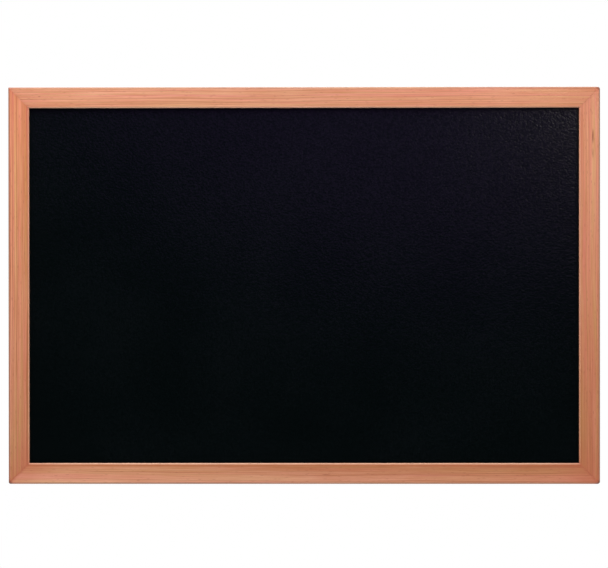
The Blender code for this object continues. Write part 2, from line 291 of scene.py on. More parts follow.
# spread: how far a rail's hues differ. show: the least and most of its ring lines. Its tints, at its start,
# middle and end, darken the rails towards the bottom and right of the board, partly the wood's own colour
# and partly painted shade of the light from the top left. fall: its shade near the outer edge and near the
# board. edges: how much shows of its brown line, painted shade on the outer arris, of its deep line, of its
# pale line, thin lacquer and a painted highlight on the sight arris, and of the painted shadow on its lip.
# soak: how far stain darkens its start and end; the corner share: how far painted shade darkens the corners
# there. flecks: marks by place along and across, half length and half width in mm, and strength.
railLooks = {
    "top": {
        "seed": 3.7, "ringWidth": 2.3, "runOut": 0.004, "wander": 1.3, "slant": 28, "spread": 0.95,
        "show": (0.0, 0.7), "tintsAndShade": ("#F9FFFF", "#ECEEEB", "#F6F1EC"), "fall": (0.98, 0.955),
        "edges": (0.6, 0.1, 0.7, 0.85), "soak": (0.15, 0.15), "cornerShade": (0.05, 0.4),
        "flecks": [(-268.3, 9.3, 1.2, 0.6, 0.45), (-52, 9.0, 4.0, 0.4, 0.3)],
    },
    "right": {
        "seed": 11.3, "ringWidth": 2.3, "runOut": 0.003, "wander": 1.0, "slant": 40, "spread": 0.9,
        "show": (0.0, 0.6), "tintsAndShade": ("#FBF8F8", "#E9DFD3", "#D0C1AA"), "fall": (1.00, 0.93),
        "edges": (0.9, 0.15, 0.4, 0.3), "soak": (0.15, 0.34), "cornerShade": (0.4, 0.85),
        "flecks": [(-151, 7.4, 6.5, 0.7, 0.9), (-134, 7.3, 5.0, 0.6, 0.4)],
    },
    "bottom": {
        "seed": 21.4, "ringWidth": 2.7, "runOut": -0.003, "wander": 1.0, "slant": 35, "spread": 0.5,
        "show": (0.0, 0.7), "tintsAndShade": ("#D5C6B3", "#DEE0DA", "#F0F7F5"), "fall": (1.09, 0.81),
        "edges": (0.9, 0.7, 0.8, 0.0), "soak": (0.34, 0.34), "cornerShade": (0.85, 0.85),
        "flecks": [(-22, 9.5, 3.4, 0.5, 0.6)],
    },
    "left": {
        "seed": 37.9, "ringWidth": 2.0, "runOut": -0.003, "wander": 0.8, "slant": 22, "spread": 1.1,
        "show": (0.4, 1.0), "tintsAndShade": ("#D9D4C5", "#F1ECE3", "#FDEDE2"), "fall": (1.03, 0.90),
        "edges": (0.9, 0.1, 0.4, 0.3), "soak": (0.38, 0.15), "cornerShade": (0.85, 0.05), "flecks": [],
    },
}


def lacqueredPine(label, look, halfLength):
    material, tree, spot = newMaterial(f"lacqueredPine_{label}")
    seed = look["seed"]

    # Places on the rail, in mm, and 0 to 1 from its start to its end
    along, depth, outward = addNode(tree, "SeparateXYZ", {}, {0: spot}).outputs
    inset = addNode(tree, "Math.MULTIPLY", {1: -1.0}, {0: outward})
    fromEnd = addNode(tree, "Math.ABSOLUTE", {}, {0: along})
    fromEnd = addNode(tree, "Math.SUBTRACT", {0: halfLength}, {1: fromEnd})
    fromMitre = addNode(tree, "Math.SUBTRACT", {}, {0: fromEnd, 1: inset})
    fromCorner = addNode(tree, "Math.ADD", {}, {0: fromEnd, 1: inset})
    place = addNode(tree, "MapRange", {"map": (-halfLength, halfLength)}, {"Value": along})

    # Masks, each with what it is measured on, the mm where it starts and where it is full, and its most
    face, back = railShape["face"], railShape["depth"]
    fades = {
        "front": (depth, 2.6, 1.2, 1.0), "back": (depth, back - 0.8, back - 0.2, 1.0),
        "tip": (fromEnd, 9.0, 1.0, 0.7), "tipEdge": (inset, 6.0, 1.0, 1.0),
        # the corner mask carries painted shade on the rounded outer corners
        "corner": (fromCorner, 7.0, 1.5, 1.0),
        # the brown edge line is painted shade, the pale edge line thin lacquer with a painted highlight, and
        # the lip mask a painted shadow
        "brownShadeEdge": (inset, 2.2, 0.7, look["edges"][0]),
        "deepEdge": (inset, face - 3.8, face - 2.4, look["edges"][1]),
        "paleHighlightEdge": (inset, face - 1.3, face - 0.6, look["edges"][2]),
        "lip": (depth, 0.9, 2.4, look["edges"][3]),
    }
    masks = {}
    for name, (source, start, full, most) in fades.items():
        fade = {**smooth, "map": (start, full, 0, most)}
        masks[name] = addNode(tree, "MapRange", fade, {"Value": source})

    # Growth rings are sheets that cross the section at a slant and drift along the rail
    slant = math.radians(look["slant"])
    sheet = addNode(tree, "Math.MULTIPLY", {1: math.cos(slant)}, {0: inset})
    sheet = addNode(tree, "Math.MULTIPLY_ADD", {1: math.sin(slant)}, {0: depth, 2: sheet})
    sheet = addNode(tree, "Math.MULTIPLY_ADD", {1: look["runOut"]}, {0: along, 2: sheet})
    alongLine = {"noise_dimensions": "1D"}
    for reach, share in woodLook["drifts"]:
        drift = addNode(tree, "Math.MULTIPLY_ADD", {1: 1 / reach, 2: seed}, {0: along})
        drift = addNode(tree, "TexNoise", {**alongLine, "Scale": 1.0, "Detail": 1.0}, {"W": drift})
        drift = addNode(tree, "Math.SUBTRACT", {1: 0.5}, {0: drift})
        # noise strays about a quarter to each side, so four times it is the wander in mm
        sheet = addNode(tree, "Math.MULTIPLY_ADD", {1: 4 * share * look["wander"]}, {0: drift, 2: sheet})
    ringCount = addNode(tree, "Math.MULTIPLY_ADD", {1: 1 / look["ringWidth"], 2: seed}, {0: sheet})
    uneven = addNode(tree, "TexNoise", {**alongLine, "Scale": 0.6, "Detail": 2.0}, {"W": ringCount})
    ringCount = addNode(tree, "Math.MULTIPLY_ADD", {1: 1.8}, {0: uneven, 2: ringCount})

    # Streaks that follow the rings, in hue, in tone and in how strongly the rings show
    slow = addNode(tree, "Math.DIVIDE", {1: woodLook["streakLength"]}, {0: along})
    streakSpot = addNode(tree, "CombineXYZ", {2: seed}, {0: ringCount, 1: slow})
    streaky = {"Scale": 1.1, "Detail": 3.0, "Roughness": 0.6}
    streaks = addNode(tree, "TexNoise", streaky, {"Vector": streakSpot})
    hue, tone, strength = addNode(tree, "SeparateColor", {}, {0: streaks.outputs[1]}).outputs
    widened = {1: look["spread"], 2: 0.5 - look["spread"] / 2}
    hue = addNode(tree, "Math.MULTIPLY_ADD", widened, {0: hue})
    colour = addNode(tree, "ValToRGB", {"stops": woodLook["hues"]}, {0: hue})

    # Thin late wood at the end of each ring, stronger in some stretches than in others
    phase = addNode(tree, "Math.FRACT", {}, {0: ringCount})
    lateWood = [(0.0, "#000000"), (0.5, "#000000"), (0.88, "#FFFFFF"), (1.0, "#000000")]
    ringLine = addNode(tree, "ValToRGB", {"stops": lateWood}, {0: phase})
    strength = addNode(tree, "MapRange", {"map": (0.35, 0.65)}, {"Value": strength})
    show = addNode(tree, "MapRange", {"map": (0, 1, *look["show"])}, {"Value": strength})
    ringLine = addNode(tree, "Math.MULTIPLY", {}, {0: ringLine, 1: show})

    # Lacquer runs to the outer tips of the corners and leaves them redder
    colour = layOver(tree, colour, woodLook, (
        ("ring", ringLine), ("tip", masks["tip"], masks["tipEdge"], masks["front"])))

    # Fibres along the rail, and the wood a little darker towards the board. Each part of the shade has
    # the values that it runs between and how dark and light it makes the wood there.
    perFibre = [1 / woodLook[key] for key in ("fibreLength", "fibreWidth", "fibreWidth")]
    fibreSpot = addNode(tree, "Mapping", {"Location": (seed, 0, seed), "Scale": perFibre}, {"Vector": spot})
    fibre = addNode(tree, "TexNoise", {"Scale": 1.0, "Detail": 3.0, "Roughness": 0.7}, {"Vector": fibreSpot})
    fineSpot = addNode(tree, "Mapping", {"Scale": woodLook["fineFibre"]}, {"Vector": fibreSpot})
    fine = addNode(tree, "TexNoise", {"Scale": 1.0, "Detail": 1.0}, {"Vector": fineSpot})
    shade, *others = (addNode(tree, "MapRange", {"map": limits}, {"Value": source}) for source, *limits in (
        (fibre, 0.3, 0.7, 0.84, 1.12), (fine, 0.25, 0.75, 0.86, 1.14), (tone, 0.3, 0.7, 0.87, 1.12),
        (inset, 3, 20, *look["fall"])))
    for part in others:
        shade = addNode(tree, "Math.MULTIPLY", {}, {0: shade, 1: part})
    # the tints darken the rails towards the bottom and right of the board, partly the wood's own colour and
    # partly painted shade of the light from the top left
    tint = addNode(tree, "ValToRGB", {"stops": list(zip((0.0, 0.5, 1.0), look["tintsAndShade"]))}, {0: place})
    # darker streaks are deeper in colour, so blue falls more than red
    deepening = {1: (0.7, 1.25, 1.9), 2: (0.3, -0.25, -0.9)}
    deeper = addNode(tree, "VectorMath.MULTIPLY_ADD", deepening, {0: shade})
    tint = addNode(tree, "VectorMath.MULTIPLY", {}, {0: tint, 1: deeper})
    colour = addNode(tree, "VectorMath.MULTIPLY", {}, {0: colour, 1: tint})

    # Resin ducts, short dark dashes along the fibres, and the marks in the wood
    perDuct = [1 / size for size in woodLook["ductCell"]]
    ductSpot = addNode(tree, "Mapping", {"Location": (seed, 0, 0), "Scale": perDuct}, {"Vector": spot})
    ducts = addNode(tree, "TexVoronoi", {"Scale": 1.0}, {"Vector": ductSpot})
    dash = {**smooth, "map": (0.22, 0.08, 0, woodLook["ductShare"])}
    layers = [("fleck", addNode(tree, "MapRange", dash, {"Value": ducts.outputs["Distance"]}))]
    for x, across, halfLong, halfWide, share in look["flecks"]:
        onFleck = {"Location": (-x / halfLong, 0, across / halfWide),
                   "Scale": (1 / halfLong, 1 / woodLook["fleckDepth"], 1 / halfWide)}
        fleckSpot = addNode(tree, "Mapping", onFleck, {"Vector": spot})
        fromFleck = addNode(tree, "VectorMath.LENGTH", {}, {0: fleckSpot}).outputs["Value"]
        mark = {**smooth, "map": (1.6, 0.2, 0, share)}
        layers.append(("fleck", addNode(tree, "MapRange", mark, {"Value": fromFleck})))

    # Bands along the section's edges, patchy like the rings: a brown line that is painted shade on the outer
    # arris, a deep line, and a pale line on the sight arris that is thin lacquer and a painted highlight.
    # Then a painted shadow on the lip's inner wall down to the board, strongest on the top rail
    patchy = addNode(tree, "MapRange", {"map": (0.1, 0.8, 0.75, 1.0)}, {"Value": strength})
    for edge in ("brownShadeEdge", "deepEdge", "paleHighlightEdge"):
        layers.append((edge, masks[edge], masks["front"], patchy))
    atSight = addNode(tree, "Math.GREATER_THAN", {1: face - 0.5}, {0: inset})
    layers.append(("lip", masks["lip"], atSight))

    # End grain soaks up more stain, so the wood is redder towards the mitre and dark in the glue line, and
    # painted shade darkens the rounded outer corners, most at the bottom of the board
    soakShare, cornerShadeShare = (
        addNode(tree, "MapRange", {"map": (0, 1, *look[key])}, {"Value": place})
        for key in ("soak", "cornerShade"))
    for soakReach in woodLook["soakReach"]:
        soaking = {**smooth, "map": (soakReach, 0.0)}
        soak = addNode(tree, "MapRange", soaking, {"Value": fromMitre, "To Max": soakShare})
        layers.append(("soaked", soak))
    layers.append(("shadedCorner", masks["corner"], cornerShadeShare, masks["front"]))
    colour = layOver(tree, colour, woodLook, layers)

    # The back and the rebate were never stained, apart from what ran a few mm over the outer edge
    overrun = addNode(tree, "Math.MULTIPLY_ADD", {1: 6.0, 2: -3.2}, {0: strength})
    overrun = addNode(tree, "Math.MULTIPLY_ADD", {1: 3.0}, {0: fibre, 2: overrun})
    overrun = addNode(tree, "Math.SUBTRACT", {}, {0: inset, 1: overrun})
    pastEdge = addNode(tree, "MapRange", {**smooth, "map": (0, 1.2)}, {"Value": overrun})
    backFace = addNode(tree, "Math.MULTIPLY", {}, {0: masks["back"], 1: pastEdge})
    wall = face - railShape["rebate"]
    inRebate = addNode(tree, "Math.GREATER_THAN", {1: wall - 0.1}, {0: inset})
    behindLip = addNode(tree, "Math.GREATER_THAN", {1: railShape["lip"] - 0.1}, {0: depth})
    inRebate = addNode(tree, "Math.MULTIPLY", {}, {0: inRebate, 1: behindLip})
    bare = addNode(tree, "Math.MAXIMUM", {}, {0: backFace, 1: inRebate})
    rawLine = addNode(tree, "Math.MULTIPLY", {1: 0.9}, {0: ringLine})
    unstained = {"data_type": "RGBA", 6: woodLook["rawWood"], 7: woodLook["rawRing"]}
    rawShade = addNode(tree, "Mix", unstained, {0: rawLine})
    rawShade = addNode(tree, "VectorMath.SCALE", {}, {0: rawShade, "Scale": shade})
    colour = addNode(tree, "Mix", {"data_type": "RGBA"}, {0: bare, 6: colour, 7: rawShade})

    roughness = addNode(tree, "MapRange", {"map": (0, 1, *woodLook["roughness"])}, {"Value": bare})
    grain = addNode(tree, "Math.MULTIPLY_ADD", {1: -0.6}, {0: ringLine, 2: fibre})
    relief = woodLook["relief"] * millimetre
    bump = addNode(tree, "Bump", {"Strength": 0.5, "Distance": relief}, {"Height": grain})
    finishMaterial(tree, {"IOR": 1.5}, {"Base Color": colour, "Roughness": roughness, "Normal": bump})
    return material


# Rails, with their nails and points, in mm
railShape = {
    "face": 21.0, "depth": 15.0, "lip": 4.0, "rebate": 6.0,
    "frontArris": 1.5, "sightArris": 1.2, "backArris": 0.8, "mitreGap": 0.06,
    "arrisSteps": 8, "cornerSteps": 8,
    "corners": {"topRight": 2.6, "bottomRight": 2.6, "bottomLeft": 2.0, "topLeft": 0.8},
}
nailShape = {
    "sheet": 0.5, "leg": 5.0, "curl": 0.9, "height": 10.0, "sunk": 0.3, "slotPlay": 0.12, "topChamfer": 0.08,
    "insets": {"outer": 4.2, "inner": 9.8}, "bendRadius": 0.62, "bendSteps": 5, "ground": 1.2,
}
pointShape = {
    "sheet": 0.5, "width": 8.0, "embedded": 8.0, "exposed": 8.0, "corner": 1.2, "front": 8.7,
    "endDistance": 62.0, "slotPlay": 0.12, "edgeRound": 0.12, "press": 0.22, "blunt": 0.2,
    "ribHeight": 0.25, "ribWidth": 1.6, "ribFade": 1.5, "ribFromWood": 0.8, "ribFromEnd": 1.2, "ribSteps": 12,
}
rail, nail, point = (inMetres(shape) for shape in (railShape, nailShape, pointShape))
cutOverrun = 2 * millimetre   # how far a cutter sticks out of what it cuts
quarters = ("top", "right", "bottom", "left")
cadCorners = {"topRight": "top_right", "bottomRight": "bottom_right", "bottomLeft": "bottom_left",
              "topLeft": "top_left"}
cornerNames = list(cadCorners)


def railPlace(quarter):
    # each rail's own frame: X along it, Y into the depth, Z out of the board, origin on its outer edge
    length, across = (boardHeight, boardWidth) if quarter % 2 else (boardWidth, boardHeight)
    turn = Matrix.Rotation(math.radians(90) * quarter, 4, "Y")
    return length, Matrix.Translation(boardCentre) @ turn @ Matrix.Translation((0, 0, across / 2))


def railProfile():
    steps = railShape["arrisSteps"]
    back, front, sight = rail["backArris"], rail["frontArris"], rail["sightArris"]
    face, depth, lip = rail["face"], rail["depth"], rail["lip"]
    wall = face - rail["rebate"]
    points = arc((back, depth - back), back, 90, 180, steps) + arc((front, front), front, 180, 270, steps)
    points += arc((face - sight, sight), sight, 270, 360, steps)
    return points + [(face, lip), (wall, lip), (wall, depth)]


def railEnd(inset, length, radius, share):
    # a point of the section part of the way round the outer corner, stopped by the mitre face
    setback = rail["mitreGap"] / math.sqrt(2)
    bend = radius - inset
    if bend <= setback:
        return length / 2 - inset - setback, inset
    turn = share * (math.acos(setback / bend / math.sqrt(2)) - math.radians(45))
    return length / 2 - radius + bend * math.sin(turn), radius - bend * math.cos(turn)


def railMesh(name, length, startRadius, endRadius):
    shares = evenly(0, 1, railShape["cornerSteps"])
    stations = [(-1, startRadius, share) for share in reversed(shares)]
    stations += [(1, endRadius, share) for share in shares]
    rings = []
    for side, radius, share in stations:
        ring = []
        for inset, depth in railProfile():
            along, moved = railEnd(inset, length, radius, share)
            ring.append((side * along, depth, -moved))
        rings.append(ring)
    return skin(name, rings)


def nailLine(extra=0.0):
    # the bent line of a corner nail seen from the back, apex at the origin, with its ends curled
    leg, curl, bend = nail["leg"], nail["curl"], nail["bendRadius"]
    tip = leg + extra
    corners = [Vector(corner) for corner in (
        (-tip, curl + extra), (-leg + curl, 0), (0, 0), (0, -leg + curl), (curl + extra, -tip))]
    line = corners[:1]
    for before, here, after in zip(corners, corners[1:], corners[2:]):
        start = here + (before - here).normalized() * bend
        end = here + (after - here).normalized() * bend
        for t in evenly(0, 1, nailShape["bendSteps"]):
            line.append(start * (1 - t) ** 2 + here * 2 * t * (1 - t) + end * t ** 2)
    return line + corners[-1:]


def stripOutline(line, thickness):
    sides = ([], [])
    for index, here in enumerate(line):
        along = direction(line, index)
        offset = Vector((-along.y, along.x)) * thickness / 2
        sides[0].append(here + offset)
        sides[1].append(here - offset)
    return sides[0] + sides[1][::-1]


def nailPlace(quarter, inset):
    # measured in from the corner at the end of one rail
    length, place = railPlace(quarter)
    return place @ Matrix.Translation((length / 2 - inset * millimetre, 0, -inset * millimetre))


def pointPlaces(quarter):
    length, place = railPlace(quarter)
    outermost = length / 2 - point["endDistance"]
    spots = (-outermost, outermost) if quarter % 2 else (-outermost, 0, outermost)
    return [place @ Matrix.Translation((spot, 0, rail["rebate"] - rail["face"])) for spot in spots]


def railCutter(quarter, screwPlaces):
    # everything that is let into one rail's back, as one cutting mesh in the rail's own frame
    home = railPlace(quarter)[1].inverted()
    shape = bmesh.new()
    play = nail["slotPlay"]
    low, high = rail["depth"] - nail["sunk"] - nail["height"] - play, rail["depth"] + cutOverrun
    for corner in (quarter - 1, quarter):
        for inset in nailShape["insets"].values():
            slot = stripOutline(nailLine(play), nail["sheet"] + 2 * play)
            addPrism(shape, slot, low, high, home @ nailPlace(corner % 4, inset))
    play = point["slotPlay"]
    half, reach, front = point["width"] / 2 + play, point["embedded"] + play, point["front"]
    outline = [(-half, -cutOverrun), (half, -cutOverrun), (half, reach), (-half, reach)]
    for spot in pointPlaces(quarter):
        addPrism(shape, outline, front - play, front + point["sheet"] + play, home @ spot)
    for screwPlace, radius, holeDepth in screwPlaces:
        addPrism(shape, circle(radius, 24), -holeDepth, cutOverrun, home @ screwPlace)
    return meshFrom(shape, "railCutter")


# Hangers, in mm and about the ring's hinge axis
hangerShape = {
    "wire": 1.0, "ringHalf": 5.9, "ringArm": 6.0, "ringBend": 1.1,
    "strapWidth": 9.0, "sheet": 0.8, "leafGap": 0.02, "eyePlay": 0.3, "edgeRound": 0.16, "tailCorner": 3.0,
    "screwDrop": 17.0, "tail": 4.5, "foldOut": 0.8,
}
screwShape = {
    "core": 1.0, "thread": 1.4, "pitch": 1.3, "length": 11.5, "point": 3.0, "tip": 0.3, "centreHole": 0.01,
    "head": 2.7, "headHeight": 1.8, "headEdge": 0.1, "recessArm": 1.5, "recessSlot": 0.7, "recessDepth": 1.0,
    "gap": 0.3, "spin": {"left": 20, "right": -35},   # degrees, as screws stop where they are tight
}
hinges = {joint["child"]: Vector(joint["pos_m"]) for joint in frame["record"]["behaviour"]["joints"]}
hanger, screw = inMetres(hangerShape), inMetres(screwShape)
eyeOuter = hanger["wire"] + hanger["eyePlay"] + hanger["sheet"]
strapFace = 2 * hanger["sheet"] - eyeOuter
screwHole = screw["thread"] + screw["gap"]


def screwSpot(hinge):
    # the underside of the screw's head, on the strap
    return hinge + Vector((0, strapFace, -hanger["screwDrop"]))


print("rails")
for quarter, label in enumerate(quarters):
    length, place = railPlace(quarter)
    radii = [railShape["corners"][cornerNames[corner]] * millimetre for corner in (quarter - 1, quarter)]
    screws = []
    if f"{label}_ring" in hinges:
        spot = screwSpot(hinges[f"{label}_ring"])
        spot.y = railBackY
        screws = [(Matrix.Translation(spot), screwHole, screw["length"] + screw["tip"])]
    mesh = cutWith(railMesh(f"{label}Rail", length, *radii), railCutter(quarter, screws))
    finish = lacqueredPine(label, railLooks[label], length / 2 / millimetre), "lacquered_wood"
    addPiece(f"{label}Rail", mesh, finish, f"rail_{label}", place, evenShading=True)


# Writing face: black enamel sprayed on a thin hard sheet. The eye gets a dull satin black whose fine orange
# peel sparkles a little where it catches light.
faceLook = {
    "shades": ("#04090A", "#080D0F"), "blend": (0.15, 0.4), "grainInShades": True,
    "grain": (1.8, 1.8, 1.8), "grainNoise": {"Detail": 1.0},   # mm between the bumps of the sprayed film
    "cloud": 111.1, "cloudDetail": 2.0,                        # mm
    "roughness": (0.11, 0.19), "roughBetween": (0.3, 0.7), "roughByShade": False,
    "bump": 1.0, "relief": 0.14,    # relief in mm
    "gloss": 0.05, "coatRoughness": 0.14,
    "polish": (0.1, 0.32),          # gloss that wiping has left in the dips and on the tops of the bumps
    "rim": 5.0,                     # mm beside the rails over which the coat's gloss fades out, a painted shadow of the lip
    "waves": 0.06, "cell": 8.0,     # mm that the sheet is out of flat, and mm between mesh lines
}


def sprayedEnamel():
    material, tree, spot = newMaterial("sprayedBlackEnamel")
    grain, links = grainedSurface(tree, spot, faceLook)
    polish = addNode(tree, "MapRange", {"map": (0.3, 0.7, *faceLook["polish"])}, {"Value": grain})
    parts = addNode(tree, "SeparateXYZ", {}, {0: spot}).outputs
    # beside the rails the coat's gloss fades out, darkening the reflection there as a painted shadow of the
    # lip
    for axis, middle, span in ((0, boardCentre.x, boardWidth), (2, boardCentre.z, boardHeight)):
        sight = span / 2 / millimetre - railShape["face"]
        gap = addNode(tree, "Math.SUBTRACT", {1: middle / millimetre}, {0: parts[axis]})
        gap = addNode(tree, "Math.ABSOLUTE", {}, {0: gap})
        rimShadeFade = {**smooth, "map": (sight, sight - faceLook["rim"])}
        gap = addNode(tree, "MapRange", rimShadeFade, {"Value": gap})
        polish = addNode(tree, "Math.MULTIPLY", {}, {0: polish, 1: gap})
    gloss = {"Specular IOR Level": faceLook["gloss"], "Coat Roughness": faceLook["coatRoughness"]}
    finishMaterial(
        tree, {"IOR": 1.5, **gloss}, {**links, "Coat Weight": polish, "Coat Normal": links["Normal"]})
    return material


# Hardboard: wood fibre pressed wet against a wire screen. The eye gets a dull brown back with the screen's
# fine grid in it and loose darker fibres.
hardboardLook = {
    "stops": [(0.15, "#64442C"), (0.5, "#85603F"), (0.9, "#A9825A")],   # pits, board, fibres
    "roughness": 0.82, "relief": 0.15,   # relief in mm
    "screen": 2.6,                       # mm, so that a knuckle of the wire shows every 1.3
    "fibre": (1.111, 1.111, 1.0), "lean": 0.6,   # mm, drawn coarser than the real 0.1; lean in radians
    "cloud": 71.4,                       # mm
    "waves": 0.05, "cell": 12.0,         # mm that the board is out of flat, and mm between mesh lines
}


def pressedHardboard():
    material, tree, spot = newMaterial("pressedHardboard")
    grid = []
    for axis in (0, 2):
        part = addNode(tree, "SeparateXYZ", {}, {0: spot}).outputs[axis]
        turn = addNode(tree, "Math.MULTIPLY", {1: math.tau / hardboardLook["screen"]}, {0: part})
        wave = addNode(tree, "Math.SINE", {}, {0: turn})
        grid.append(addNode(tree, "Math.ABSOLUTE", {}, {0: wave}))
    screen = addNode(tree, "Math.MULTIPLY", {}, {0: grid[0], 1: grid[1]})
    laid = {"Rotation": (0, hardboardLook["lean"], 0), "Scale": [1 / size for size in hardboardLook["fibre"]]}
    tangled = {"Scale": 1.6, "Detail": 4.0, "Roughness": 0.7, "Distortion": 0.8}
    fibre = addNode(tree, "TexNoise", tangled, {"Vector": addNode(tree, "Mapping", laid, {"Vector": spot})})
    cloud = addNode(tree, "TexNoise", {"Scale": 1 / hardboardLook["cloud"], "Detail": 3.0}, {"Vector": spot})
    tone = addNode(tree, "Math.MULTIPLY_ADD", {1: 0.18}, {0: cloud, 2: fibre})
    tone = addNode(tree, "MapRange", {"map": (0.34, 0.84)}, {"Value": tone})
    colour = addNode(tree, "ValToRGB", {"stops": hardboardLook["stops"]}, {0: tone})
    # the screen's grooves are darkened in colour as well as sunk, a painted shade in the hollows
    pits = addNode(tree, "MapRange", {"map": (0, 1, 0.78, 1.08)}, {"Value": screen})
    colour = addNode(tree, "VectorMath.SCALE", {}, {0: colour, "Scale": pits})
    height = addNode(tree, "Math.MULTIPLY_ADD", {1: 0.35}, {0: fibre, 2: screen})
    relief = hardboardLook["relief"] * millimetre
    bump = addNode(tree, "Bump", {"Strength": 0.8, "Distance": relief}, {"Height": height})
    finishMaterial(
        tree, {"Roughness": hardboardLook["roughness"], "IOR": 1.45}, {"Base Color": colour, "Normal": bump})
    return material


def panelMesh(name, low, high, look):
    # a thin sheet with softened edges whose two broad faces are slightly out of flat
    soften = 0.15 * millimetre

    def spread(start, end):
        count = max(2, round((end - start) / (look["cell"] * millimetre)))
        return [start, *evenly(start + soften, end - soften, count), end]

    columns, rows = spread(low.x, high.x), spread(low.z, high.z)
    lastI, lastJ = len(columns) - 1, len(rows) - 1
    shape = bmesh.new()
    grids = []
    for side, y in ((-1, low.y), (1, high.y)):
        grid = {}
        for i, x in enumerate(columns):
            for j, z in enumerate(rows):
                wave = noise.noise(Vector((x * 7, 0.5, z * 7))) * look["waves"] * millimetre
                fall = -side * soften if i in (0, lastI) or j in (0, lastJ) else 0.0
                grid[i, j] = shape.verts.new((x, y + wave + fall, z))
        grids.append(grid)
        for i in range(lastI):
            for j in range(lastJ):
                shape.faces.new((grid[i, j], grid[i + 1, j], grid[i + 1, j + 1], grid[i, j + 1]))
    rim = [(i, 0) for i in range(lastI)] + [(lastI, j) for j in range(lastJ)]
    rim += [(i, lastJ) for i in range(lastI, 0, -1)] + [(0, j) for j in range(lastJ, 0, -1)]
    joinRings(shape, *([grid[spot] for spot in rim] for grid in grids))
    return meshFrom(shape, name, 40)


print("panel")
for name, node, look, finish in (
    ("writingFace", "writing_surface", faceLook, (sprayedEnamel(), "writing_black")),
    ("hardboardCore", "panel_core", hardboardLook, (pressedHardboard(), "hardboard")),
):
    addPiece(name, panelMesh(name, *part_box(node), look), finish, node)


# Spring steel: cold rolled strip, blanked and left bare. The eye gets a dull grey with a rolling grain and
# brighter sheared edges.
steelLook = {
    "shades": ("#74767B", "#9C9EA2"), "blend": (0.14, 0.36), "grainInShades": True,
    "grain": (0.35, 6.67, 11.1), "grainNoise": {"Detail": 3.0},   # mm, rolling lines drawn coarser to show
    "cloud": 3.85, "cloudDetail": 3.0,                            # mm between stains
    "roughness": (0.48, 0.36), "roughBetween": (0, 1), "roughByShade": True,
    "bump": 0.4, "relief": 0.01,    # relief in mm
}
# Zinc plated steel: stamped or bent, then barrel plated. The eye gets a bright bluish white metal, clouded
# where the pieces rubbed together.
zincLook = {
    "shades": ("#B4B8B9", "#CDCFCC"), "blend": (0.35, 0.65), "grainInShades": False,
    "grain": (0.417, 0.417, 0.417), "grainNoise": {"Detail": 2.0, "Distortion": 1.2},   # mm between scuffs
    "cloud": 1.4, "cloudDetail": 3.0,                                                   # mm
    "roughness": (0.20, 0.37), "roughBetween": (0.3, 0.7), "roughByShade": False,
    "bump": 0.3, "relief": 0.01,    # relief in mm
}
# Rubber: moulded and tumbled. The eye gets a matt near black, greyer where it is rubbed.
rubberLook = {
    "shades": ("#1B1B1C", "#2C2B2A"), "blend": (0.4, 0.75), "grainInShades": False,
    "grain": (0.5, 0.5, 0.5), "grainNoise": {"Detail": 3.0},   # mm
    "cloud": 3.12, "cloudDetail": 2.0,                         # mm between rubbed patches
    "roughness": (0.62, 0.78), "roughBetween": (0, 1), "roughByShade": False,
    "bump": 0.5, "relief": 0.04,    # relief in mm
}
springSteel = grainedMaterial("rolledSpringSteel", steelLook, {"Metallic": 1.0}), "spring_steel"
platedZinc = grainedMaterial("barrelPlatedZinc", zincLook, {"Metallic": 1.0}), "zinc_plated_steel"
rubber = grainedMaterial("mouldedRubber", rubberLook, {"IOR": 1.52}), "black_rubber"


# Corner nails
def nailMesh(name):
    high = rail["depth"] - nail["sunk"]
    low = high - nail["height"]
    sheet, chamfer = nail["sheet"], nail["topChamfer"]
    levels = ((low, 0.1 * sheet), (low + nail["ground"], sheet),   # the sharpened edge goes in first
              (high - chamfer, sheet), (high, sheet - 2 * chamfer))
    return skin(name, [
        [(spot.x, y, spot.y) for spot in stripOutline(nailLine(), thickness)] for y, thickness in levels])


print("corner nails")
for quarter, (corner, cadCorner) in enumerate(cadCorners.items()):
    for rank, inset in nailShape["insets"].items():
        name = f"{corner}Nail_{rank}"
        node = f"corner_nail_{cadCorner}_{rank}"
        addPiece(name, nailMesh(name), springSteel, node, nailPlace(quarter, inset))


# Panel points
def pointMesh(name):
    # a thin blank with a square end over the panel, a pressed rib and a pointed end in the wood
    half, end, steps = point["width"] / 2, -point["exposed"], pointShape["ribSteps"]
    shoulder = point["embedded"] - half
    stations = evenly(end, end + point["corner"], 5) + evenly(end + point["corner"], 0, 8)[1:]
    stations += evenly(0, shoulder, 2)[1:] + evenly(shoulder, point["embedded"] - point["blunt"], 4)[1:]
    rings = []
    for up in stations:
        toCorner = point["corner"] - (up - end)
        if toCorner > 0:
            reach = half - point["corner"] + math.sqrt(point["corner"] ** 2 - toCorner ** 2)
        else:
            reach = min(half, point["embedded"] - up)
        bendIn = point["press"] * max(0.0, up / end) ** 2
        fromEdges = min(-up - point["ribFromWood"], up - end - point["ribFromEnd"])
        ribFade = max(0.0, min(1.0, fromEdges / point["ribFade"]))
        upper, lower = [], []
        for step, share in enumerate(evenly(-1, 1, steps)):
            x = share * reach
            rib = point["ribHeight"] * ribFade * math.exp(-(x / (point["ribWidth"] / 2)) ** 2)
            rounding = point["edgeRound"] if step in (0, steps) else 0.0
            front = point["front"] - bendIn + rib
            upper.append((x, front + point["sheet"] - rounding, up))
            lower.append((x, front + rounding, up))
        rings.append(upper + lower[::-1])
    return skin(name, rings, sharpAngle=45)


print("panel points")
for quarter, label in enumerate(quarters):
    for number, place in enumerate(pointPlaces(quarter), start=1):
        name = f"{label}Point_{number}"
        addPiece(name, pointMesh(name), springSteel, f"panel_point_{label}_{number}", place)


